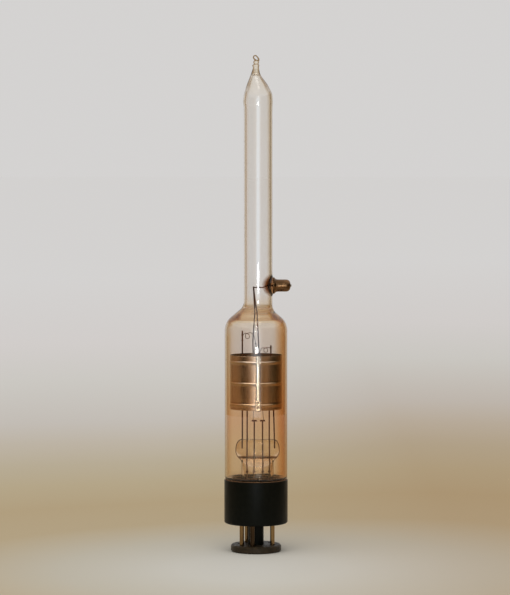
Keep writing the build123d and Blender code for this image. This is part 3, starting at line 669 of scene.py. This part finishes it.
def stemPiece():
    rim = bulbSizes["footRadius"] - bulbSizes["wall"] - stemSizes["gap"]
    foot = bulbSizes["footBottom"]
    tube, wall = stemSizes["tube"], stemSizes["wall"]
    hollow = tube - wall
    outside = [(rim, foot, 1.0, 0.0), (rim, foot + 1.5, 1.0, 0.0), (11.6, foot + 3.0, 1.0, 0.3),
               (9.6, foot + 5.2, 1.0, 0.7), (8.75, foot + 7.5, 1.0, 1.0), (tube, foot + 10, 1.0, 1.0),
               (tube, 36.0, 1.0, 1.0), (tube, 40.0, 0.97, 1.0), (8.4, 43.5, 0.82, 1.0),
               (8.3, 46.2, 0.56, 1.0), (8.9, 47.6, 0.40, 1.0), (10.2, 49.0, 0.26, 1.0),
               (11.2, 50.7, 0.21, 1.0),
               (stemSizes["pressHalf"], 52.6, 0.19, 1.0), (11.35, 54.8, 0.19, 1.0), (10.75, 56.7, 0.2, 1.0),
               (9.9, 57.9, 0.2, 1.0), (8.9, 58.45, 0.16, 1.0), (7.4, stemSizes["pressTop"], 0.08, 1.0)]
    inside = [(rim - wall, foot, 1.0, 0.0), (rim - wall, foot + 1.0, 1.0, 0.0), (10.3, foot + 3.0, 1.0, 0.3),
              (8.4, foot + 5.4, 1.0, 0.7), (7.5, foot + 7.8, 1.0, 1.0), (hollow, foot + 10, 1.0, 1.0),
              (hollow, 36.0, 1.0, 1.0), (hollow, 40.0, 0.96, 1.0), (7.25, 43.5, 0.76, 1.0),
              (7.2, 46.0, 0.40, 1.0), (7.15, 47.6, 0.20, 1.0), (7.0, 48.7, 0.09, 1.0),
              (6.7, stemSizes["hollowTop"], 0.03, 1.0)]
    verts, faces = shellPiece(stemStack(outside), stemStack(inside), stemSizes["segments"])
    for vert in verts:
        if vert[2] > stemSizes["waveFrom"]:
            place = [value * share for value, share in zip(vert, stemSizes["waveScale"])]
            vert[1] *= 1 + ripple(place, stemSizes["waveDepth"])
    addPiece("pressedStem", verts, faces, finishes["stemGlass"], "tube", ("glass_stem",))


stemPiece()
print("stem made")

# Base shell and keyed post: one moulding, so one turned outline with a rib along the post

baseSizes = {"radius": 16.5, "inner": 14.6, "bottom": 14.8, "top": 37.5, "floor": 17.4, "edge": 1.0,
             "rim": 0.35, "innerRim": 0.15, "floorRound": 0.5, "postRadius": 4.0, "postFoot": 1.4,
             "postEdge": 0.4,
             "postBlend": 0.35, "boreRadius": 2.5, "boreFoot": 3.3, "boreRound": 0.3, "axisGap": 0.002,
             "keyAngle": 55, "keyHeight": 0.9, "keyWidth": 2.0, "keyRound": 0.3, "keySink": 0.2,
             "keyChamfer": ((0, 0.35), (0.12, 0.1), (0.4, 0.0)), "segments": 160}


def keyRib(first):
    # Verts and faces of the key, rising from the post's foot into the shell's floor
    sizes = baseSizes
    end = sizes["postRadius"] + sizes["keyHeight"]
    wide, corner = sizes["keyWidth"], sizes["keyRound"]
    outline = roundedOutline([(0, 0, 0), (end, 0, corner), (end, wide, corner), (0, wide, 0)], 4)
    turn = math.radians(sizes["keyAngle"])
    levels = [(sizes["postFoot"] + rise, inset) for rise, inset in sizes["keyChamfer"]]
    levels.append((sizes["bottom"] + sizes["keySink"], 0.0))
    verts = []
    for height, inset in levels:
        for point in outline:
            reach = min(point.x, end - inset)
            aside = max(min(point.y, wide - inset), inset) - wide / 2
            verts.append([reach * math.cos(turn) - aside * math.sin(turn),
                          reach * math.sin(turn) + aside * math.cos(turn), height])
    count = len(outline)
    faces = ringFaces(len(levels), count, first)
    faces.append(tuple(range(first + count - 1, first - 1, -1)))
    faces.append(tuple(range(first + len(verts) - count, first + len(verts))))
    return verts, faces


def basePiece():
    sizes = baseSizes
    bore = sizes["boreRadius"]
    corners = [(bore, sizes["floor"], 0), (sizes["inner"], sizes["floor"], sizes["floorRound"]),
               (sizes["inner"], sizes["top"], sizes["innerRim"]),
               (sizes["radius"], sizes["top"], sizes["rim"]),
               (sizes["radius"], sizes["bottom"], sizes["edge"]),
               (sizes["postRadius"], sizes["bottom"], sizes["postBlend"]),
               (sizes["postRadius"], sizes["postFoot"], sizes["postEdge"]),
               (sizes["axisGap"], sizes["postFoot"], 0), (sizes["axisGap"], sizes["boreFoot"], 0),
               (bore, sizes["boreFoot"], sizes["boreRound"]), (bore, sizes["floor"], 0)]
    outline = roundedOutline(corners, 6)[:-1]
    verts, faces = lathe([(point.x, point.y) for point in outline], sizes["segments"])
    ribVerts, ribFaces = keyRib(len(verts))
    piece = addPiece("keyedBase", verts + ribVerts, faces + ribFaces, finishes["baseMoulding"], "tube",
                     ("base_shell",))
    sharpen(piece, 40)


basePiece()
print("base made")

# Basing cement squeezed out in a thin uneven skin between the glass ledge and the moulding's rim

skinSizes = {"inner": 14.15, "outer": 16.2, "bottom": 37.42, "top": 37.62, "uneven": 0.14, "unevenFrom": 15.5,
             "unevenScale": 0.4, "segments": 144}


def cementSkinPiece():
    inner, outer, bottom, top = (skinSizes[key] for key in ("inner", "outer", "bottom", "top"))
    outline = [(inner, bottom), (outer - 0.3, bottom + 0.06), (outer, bottom + 0.1),
               (outer + 0.05, top - 0.06), (outer - 0.12, top), (inner, top)]
    verts, faces = lathe(outline, skinSizes["segments"])
    scale = skinSizes["unevenScale"]
    for vert in verts:
        away = Vector((vert[0], vert[1]))
        if away.length > skinSizes["unevenFrom"]:
            place = Vector((vert[0] * scale, vert[1] * scale, 0))
            away *= 1 + skinSizes["uneven"] / outer * noise.noise(place)
            vert[0], vert[1] = away.x, away.y
    sharpen(addPiece("cementSkin", verts, faces, finishes["cement"], "tube"), 60)


cementSkinPiece()
print("cement made")

# Collector: rolled sheet with three rolled beads, a lapped seam and spot-welded tabs


def beadRise(height):
    # How far the beads stand out at a height above the sheet's bottom edge
    sizes = collectorSizes
    return sum(sizes["beadHeight"] * math.exp(-((height - bead) / sizes["beadWidth"]) ** 2 * 2.2)
               for bead in sizes["beads"])


def collectorPiece():
    sizes = collectorSizes
    step = sizes["levelStep"]
    tall = sizes["top"] - sizes["bottom"]
    levels = [0.0, 0.05] + [step * level for level in range(1, int(tall / step))] + [tall - 0.05, tall]
    segments = 288
    half = sizes["seamWidth"] / 2
    verts = []
    for outside in (True, False):
        for height in levels:
            for spoke in range(segments):
                turn = -math.pi / 2 + 2 * math.pi * spoke / segments
                x, y = math.cos(turn), math.sin(turn)
                aside = abs(x * sizes["radius"] - half)  # from the middle of the seam
                onLap = smoothStep(half, half - sizes["seamFade"], aside) if y < 0 else 0
                dent = sizes["dent"] * noise.noise(Vector((x * 2.2, y * 2.2, height * 0.09)))
                radius = sizes["radius"] + dent * (1 if aside > half * 2 or y > 0 else 0.3)
                if outside:
                    radius += beadRise(height) * (1 - onLap) + sizes["seamRise"] * onLap
                    fromEdge = min(height, tall - height)
                    radius -= sizes["rimRoll"] * (1 - smoothStep(0, sizes["rimFade"], fromEdge))
                else:
                    radius += beadRise(height) - sizes["sheet"]
                verts.append([x * radius, y * radius, sizes["bottom"] + height])
    count = len(levels)
    inner = count * segments
    high = inner - segments
    faces = ringFaces(count, segments) + ringFaces(count, segments, inner, True)
    for spoke in range(segments):
        near = (spoke + 1) % segments
        faces.append((spoke, inner + spoke, inner + near, near))
        faces.append((high + spoke, high + near, inner + high + near, inner + high + spoke))
    piece = addPiece("collectorSheet", verts, faces, finishes["nickelSheet"], "tube",
                     ("collector",))
    sharpen(piece, 50)


# Strips folded over the seam's ends; side is -1 at the front and 1 at the rear
seamFace = collectorSizes["radius"] + collectorSizes["seamRise"]
tabSizes = {"across": 10, "tall": 26, "thick": 0.25, "lift": 0.01, "edgeRound": 0.09, "bow": 0.06,
            "taper": 0.10, "welds": (0.28, 0.72), "weldDepth": 0.12, "thinnest": 0.06}
tabs = {
    "weldTabTop": {"middle": 1.65, "width": 1.9, "low": 98.5, "high": 102.4, "face": seamFace, "side": -1,
                   "replaced": ("collector_tabs",)},
    "weldTabFoot": {"middle": 1.05, "width": 3.0, "low": 74.05, "high": 79.9, "face": seamFace, "side": -1},
    "weldTabRear": {"middle": -1.05, "width": 1.9, "low": 98.5, "high": 102.4,
                    "face": collectorSizes["radius"] + 0.285, "side": 1},
}


def tabReach(across, up, outside, face):
    # Distance of the strip's surface from the axis; across runs from -1 to 1 and up from 0 to 1
    sizes = tabSizes
    edge = max(smoothStep(0.8, 1.0, abs(across)), smoothStep(0.42, 0.5, abs(up - 0.5)))
    reach = face + (sizes["thick"] - sizes["edgeRound"] * edge if outside else sizes["lift"])
    if outside:
        for weld in sizes["welds"]:
            reach -= sizes["weldDepth"] * math.exp(-(across ** 2 / 0.10 + (up - weld) ** 2 / 0.012))
    reach -= sizes["bow"] * abs(across) ** 8
    return max(reach, face + (sizes["thinnest"] if outside else 0.0))


def tabPiece(name, middle, width, low, high, face, side, replaced=()):
    # A strip of sheet welded on the seam, its edges rounded and its face dimpled by the welds
    columns, rows = tabSizes["across"], tabSizes["tall"]
    line = columns + 1
    layer = line * (rows + 1)
    verts = []
    for outside in (True, False):
        for row in range(rows + 1):
            up = row / rows
            for column in range(line):
                across = column / columns * 2 - 1
                x = middle + width / 2 * across * (1 - tabSizes["taper"] * (abs(up - 0.5) * 2) ** 8)
                reach = tabReach(across, up, outside, face)
                turn = math.asin(max(min(x / reach, 1), -1))
                verts.append([reach * math.sin(turn), side * reach * math.cos(turn), low + (high - low) * up])
    faces = []
    for row in range(rows):
        for column in range(columns):
            start = row * line + column
            quad = (start, start + 1, start + line + 1, start + line)
            back = tuple(layer + corner for corner in quad)
            faces.append(quad if side < 0 else quad[::-1])
            faces.append(back[::-1] if side < 0 else back)
    rim = list(range(line)) + [row * line + columns for row in range(1, rows + 1)]
    rim += [rows * line + column for column in range(columns - 1, -1, -1)]
    rim += [row * line for row in range(rows - 1, 0, -1)]
    for here, there in zip(rim, rim[1:] + rim[:1]):
        quad = (here, layer + here, layer + there, there)
        faces.append(quad if side < 0 else quad[::-1])
    sharpen(addPiece(name, verts, faces, finishes["tabSheet"], "tube", replaced), 55)


collectorPiece()
for name, tab in tabs.items():
    tabPiece(name, **tab)
print("collector made")

# Side cap: spun metal with a flared skirt, a rolled edge and a small solder-filled end

capSizes = {"foot": 9.03, "height": 138.5, "skirt": 4.35, "skirtEdge": 0.35, "barrel": 3.2,
            "barrelFoot": 10.6, "domeFoot": 15.6, "end": 17.88, "wall": 0.3, "hole": 0.35, "segments": 96}


def capPiece():
    foot, barrel, dome, end = (capSizes[key] for key in ("foot", "barrel", "domeFoot", "end"))
    skirt, wall, hole, barrelFoot = (capSizes[key] for key in ("skirt", "wall", "hole", "barrelFoot"))
    outside = [(skirt, foot, 0), (skirt, foot + capSizes["skirtEdge"], 0.15),
               (barrel + 0.12, barrelFoot - 0.2, 0.7), (barrel - 0.03, barrelFoot + 1.2, 0),
               (barrel - 0.02, dome - 0.6, 0), (barrel - 0.1, dome + 0.55, 0), (barrel - 0.42, dome + 1.3, 0),
               (barrel - 1.1, dome + 1.95, 0), (hole + 0.7, end - 0.02, 0), (hole, end, 0)]
    line = roundedOutline(outside, 6)
    smoothFrom = 10  # the points before it make the skirt's edge
    smooth = line[:smoothFrom] + splineThrough(line[smoothFrom:], 3)
    inside = [(hole, end - wall), (barrel - 1.3, dome + 1.6), (barrel - wall - 0.1, dome + 0.3),
              (barrel - wall, barrelFoot), (skirt - wall, foot + 0.3), (skirt - wall, foot)]
    outline = [(point.x, point.y) for point in smooth] + inside
    verts, faces = lathe(outline, capSizes["segments"], (0, 0, capSizes["height"]), "X")
    piece = addPiece("sideCapShell", verts, faces, finishes["capMetal"], "tube", ("side_cap",))
    sharpen(piece, 45)


capPiece()
print("cap made")

# Finishes for the pieces that keep the frame's own shape

carried = {"base_cement": "cement", "cap_cement": "cement", "cap_solder": "solder", "pin_solder": "solder",
           "side_lead": "leadWire", "collector_leg_front": "legMetal", "collector_leg_rear": "nickelRod",
           "grid_helix": "fineWire", "grid_rod_left": "nickelRod", "grid_rod_right": "nickelRod",
           "filament": "filamentWire", "filament_clips": "nickelRod", "filament_spring": "fineWire",
           "grid_tie": "fineWire", "support_rod_long": "nickelRod", "support_rod_short": "nickelRod",
           "grid_lead_left": "nickelRod", "grid_lead_right": "nickelRod", "filament_lead_left": "nickelRod",
           "filament_lead_right": "nickelRod", "pin_guard": "guardMoulding"}
for seal in ("grid_left", "grid_right", "filament_left", "filament_right"):
    carried["press_seal_" + seal] = "sealWire"
for pin in (2, 4, 5, 7):
    carried["pin_" + str(pin)] = "pinMetal"
    carried["tail_pin_" + str(pin)] = "copperWire"
# Pin 5 takes the darker copy: painted shade for the dark it mirrors
carried["pin_5"] = "pinDull"
for node, finish in carried.items():
    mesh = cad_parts[node].data
    mesh.materials.clear()
    mesh.materials.append(finishes[finish])
print("carried pieces finished")

# Floor: its shade goes by distance / (distance + half), and the right side counts as nearer

floorSizes = {"radius": 60.0, "rings": 24, "spokes": 64, "middle": (0.0, -0.06, 0.0), "half": 0.6,
              "rightNearer": (1.0, 0.80, -0.07, 0.11), "warmSpan": (0.0, 0.11), "warmFade": (0.46, 0.66),
              "warm": (0.94, 0.88, 0.83)}
floorShades = [(0.0, (0.550, 0.535, 0.495)), (0.06, (0.546, 0.528, 0.480)), (0.14, (0.490, 0.455, 0.380)),
               (0.22, (0.458, 0.372, 0.245)), (0.30, (0.462, 0.368, 0.233)), (0.375, (0.495, 0.415, 0.280)),
               (0.44, (0.525, 0.460, 0.345)), (0.504, (0.580, 0.525, 0.445)), (0.559, (0.635, 0.600, 0.560)),
               (0.66, (0.730, 0.715, 0.685)), (0.736, (0.800, 0.775, 0.770)), (0.85, (0.835, 0.830, 0.835)),
               (1.0, (0.835, 0.830, 0.835))]


def stagePiece(name, verts, faces, material):
    mesh = bpy.data.meshes.new(name)
    mesh.from_pydata(verts, [], faces)
    mesh.materials.append(material)
    piece = bpy.data.objects.new(name, mesh)
    bpy.context.scene.collection.objects.link(piece)
    return piece


def floorFinish():
    material, nodes, links, shader = newMaterial("studioFloor")
    shader.inputs["Roughness"].default_value = 0.55
    shader.inputs["Specular IOR Level"].default_value = 0.0
    x = objectAxes(nodes, links)["X"]
    nearer = calculate(nodes, links, "MULTIPLY", distanceTo(nodes, links, floorSizes["middle"]),
                       spread(nodes, links, x, *floorSizes["rightNearer"]))
    beyond = calculate(nodes, links, "ADD", nearer, floorSizes["half"])
    ratio = calculate(nodes, links, "DIVIDE", nearer, beyond)
    colour = ramp(nodes, links, ratio, floorShades)
    warmth = calculate(nodes, links, "MULTIPLY", spread(nodes, links, x, 0, 1, *floorSizes["warmSpan"]),
                       spread(nodes, links, ratio, 1, 0, *floorSizes["warmFade"]))
    warmer = mixColours(nodes, links, 1.0, colour, floorSizes["warm"], "MULTIPLY")
    links.new(mixColours(nodes, links, warmth, colour, warmer), shader.inputs["Base Color"])
    bump(nodes, links, grain(nodes, links, 350, 4), shader, 0.04, 0.0003)
    return material


def floorPiece():
    rings, spokes = floorSizes["rings"], floorSizes["spokes"]
    verts = []
    for ring in range(1, rings + 1):
        reach = floorSizes["radius"] * (ring / rings) ** 3
        for spoke in range(spokes):
            turn = 2 * math.pi * spoke / spokes
            verts.append((reach * math.cos(turn), reach * math.sin(turn), 0))
    stagePiece("studioFloor", verts, ringFaces(rings, spokes) + [tuple(range(spokes))], floorFinish())


# Curtain round the tube that only mirrored sight meets, with its shades by bearing from the front in degrees
curtainSizes = {"radius": 0.75, "bottom": 0.001, "top": 0.42, "left": -152, "right": 154, "steps": 120}
curtainShades = [(-152, (0.62, 0.60, 0.57)), (-138, (0.42, 0.33, 0.22)), (-116, (0.28, 0.16, 0.07)),
                 (-95, (0.36, 0.22, 0.11)), (-77, (0.30, 0.19, 0.10)), (-60, (0.09, 0.065, 0.04)),
                 (-46, (0.11, 0.08, 0.05)), (-31, (0.28, 0.19, 0.13)), (-18, (0.75, 0.68, 0.60)),
                 (-5, (1.25, 1.5, 1.75)), (14, (1.05, 1.25, 1.45)), (22, (0.32, 0.26, 0.20)),
                 (35, (0.27, 0.18, 0.10)),
                 (50, (0.26, 0.17, 0.11)), (64, (0.09, 0.07, 0.04)), (81, (0.045, 0.042, 0.02)),
                 (99, (0.05, 0.042, 0.02)), (123, (0.20, 0.15, 0.09)), (138, (0.38, 0.30, 0.21)),
                 (154, (0.62, 0.60, 0.57))]


def curtainFinish():
    material, nodes, links, shader = newMaterial("studioCurtain")
    nodes.remove(shader)
    axes = objectAxes(nodes, links)
    frontward = calculate(nodes, links, "MULTIPLY", axes["Y"], -1.0)
    bearing = calculate(nodes, links, "ARCTAN2", axes["X"], frontward)
    stops = [(0.5 + degrees / 360, colour) for degrees, colour in curtainShades]
    glow = nodes.new("ShaderNodeEmission")
    links.new(ramp(nodes, links, spread(nodes, links, bearing, 0, 1, -math.pi, math.pi), stops),
              glow.inputs["Color"])
    # Sight that goes straight through the glass finds the room behind, not the curtain
    path = nodes.new("ShaderNodeLightPath")
    clear = nodes.new("ShaderNodeBsdfTransparent")
    shown = nodes.new("ShaderNodeMixShader")
    links.new(path.outputs["Glossy Depth"], shown.inputs["Fac"])
    links.new(clear.outputs["BSDF"], shown.inputs[1])
    links.new(glow.outputs["Emission"], shown.inputs[2])
    links.new(shown.outputs["Shader"], nodes["output"].inputs["Surface"])
    material.cycles.emission_sampling = "NONE"
    return material


def curtainPiece():
    sizes = curtainSizes
    verts = []
    for step in range(sizes["steps"] + 1):
        bearing = math.radians(sizes["left"] + (sizes["right"] - sizes["left"]) * step / sizes["steps"])
        x, y = sizes["radius"] * math.sin(bearing), -sizes["radius"] * math.cos(bearing)
        verts += [(x, y, sizes["bottom"]), (x, y, sizes["top"])]
    faces = [(2 * step, 2 * step + 2, 2 * step + 3, 2 * step + 1) for step in range(sizes["steps"])]
    piece = stagePiece("studioCurtain", verts, faces, curtainFinish())
    piece.visible_camera = piece.visible_diffuse = piece.visible_shadow = False


# The room: the wall is what the camera, mirrors and glass see, and the ambient light is what falls on things
room = {"wall": (0.660, 0.648, 0.640), "light": (1.0, 0.985, 0.965), "ambient": 0.58}


def roomLight():
    world = bpy.data.worlds.new("paleStudio")
    bpy.context.scene.world = world
    world.use_nodes = True
    world.cycles.sampling_method = "NONE"  # what is seen and what lights differ, so only real rays ask
    nodes, links = world.node_tree.nodes, world.node_tree.links
    nodes.clear()
    output = nodes.new("ShaderNodeOutputWorld")
    seen = nodes.new("ShaderNodeBackground")
    seen.inputs["Color"].default_value = (*room["wall"], 1)
    lit = nodes.new("ShaderNodeBackground")
    lit.inputs["Color"].default_value = (*room["light"], 1)
    lit.inputs["Strength"].default_value = room["ambient"]
    path = nodes.new("ShaderNodeLightPath").outputs
    mirrored = calculate(nodes, links, "MAXIMUM", path["Is Glossy Ray"], path["Is Transmission Ray"])
    mix = nodes.new("ShaderNodeMixShader")
    links.new(calculate(nodes, links, "MAXIMUM", path["Is Camera Ray"], mirrored), mix.inputs["Fac"])
    links.new(lit.outputs[0], mix.inputs[1])
    links.new(seen.outputs[0], mix.inputs[2])
    links.new(mix.outputs[0], output.inputs["Surface"])


# The sun's size is an angle in degrees, and a flat lamp's is its width and height in metres
lampColour = (1, 0.985, 0.96)
lamps = {
    "softKey": {"kind": "SUN", "place": (-0.5, -0.8, 1.6), "aim": (0, 0, 0.1), "power": 0.75, "size": 70,
                "colour": lampColour, "mirrored": False},
    "overheadBox": {"kind": "RECTANGLE", "place": (0, -0.35, 0.95), "aim": (0, 0, 0.10), "power": 2.2,
                    "size": (0.5, 0.5), "colour": lampColour, "mirrored": False},
    "neckStrip": {"kind": "ELLIPSE", "place": (0.004, -0.55, 0.1199), "aim": (0, 0, 0.13), "power": 0.17,
                  "size": (0.14, 0.0246), "throughGlass": False},
    "bodyStrip": {"kind": "RECTANGLE", "place": (0.03, -0.55, 0.077), "aim": (0, 0, 0.10), "power": 0.06,
                  "size": (0.085, 0.0075)},
    "spark": {"kind": "RECTANGLE", "place": (0.05, -0.7, 0.55), "aim": (0, 0, 0.05), "power": 0.12,
              "size": (0.03, 0.03)},
}


def pointAt(thing, place, aim):
    thing.location = place
    thing.rotation_euler = (Vector(aim) - Vector(place)).to_track_quat("-Z", "Y").to_euler()


def addLamp(name, kind, place, aim, power, size, colour=(1, 1, 1), mirrored=True, throughGlass=True):
    data = bpy.data.lights.new(name, "SUN" if kind == "SUN" else "AREA")
    data.energy = power
    data.color = colour
    if kind == "SUN":
        data.angle = math.radians(size)
    else:
        data.shape = kind
        data.size, data.size_y = size
    lamp = bpy.data.objects.new(name, data)
    bpy.context.scene.collection.objects.link(lamp)
    pointAt(lamp, place, aim)
    lamp.visible_glossy = mirrored
    lamp.visible_transmission = throughGlass


floorPiece()
curtainPiece()
roomLight()
for name, lamp in lamps.items():
    addLamp(name, **lamp)
print("studio lit")

view = {"place": (0.0, -1.341, 0.199), "aim": (0.0, 0.0, 0.13227), "lens": 156.5, "sensor": 36.0,
        "shift": -0.0017}
lens = bpy.data.cameras.new("portraitLens")
lens.lens, lens.sensor_width, lens.shift_x = view["lens"], view["sensor"], view["shift"]
lens.sensor_fit = "AUTO"
camera = bpy.data.objects.new("portraitLens", lens)
bpy.context.scene.collection.objects.link(camera)
pointAt(camera, view["place"], view["aim"])
bpy.context.scene.camera = camera

bpy.context.scene.view_settings.view_transform = "Standard"
print("scene ready")
